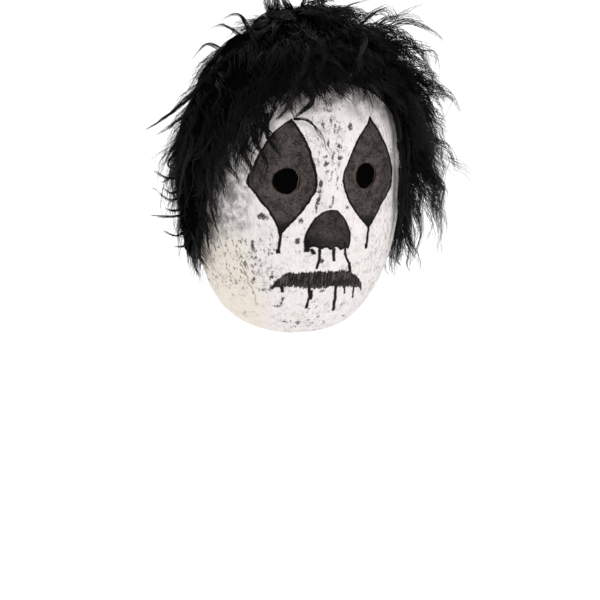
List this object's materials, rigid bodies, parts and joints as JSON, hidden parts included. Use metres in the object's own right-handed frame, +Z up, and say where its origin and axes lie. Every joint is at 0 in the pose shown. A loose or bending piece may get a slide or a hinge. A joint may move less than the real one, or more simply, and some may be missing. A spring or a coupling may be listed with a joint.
{
  "type": "clown mask with hair",
  "caption": "Full-face plastic clown mask with round eye holes, moulded nose and chin, and a shaggy fur hood over the head.",
  "frame": {"origin": "middle of the hollow that the head fills, at eye level", "axes": "+Z up, -Y the way the face looks, +X to the right of someone facing the mask"},
  "size_m": [0.2262, 0.2437, 0.2586],
  "materials": {
    "face_paint": "brushed and crackled off-white paint with dark clown markings",
    "hood_cloth": "black knitted cloth",
    "black_fur": "glossy black synthetic fur"
  },
  "bodies": {
    "root": {"face_shell": "face_paint", "hood_left": "hood_cloth", "hood_right": "hood_cloth", "fur": "black_fur"}
  },
  "joints": []
}
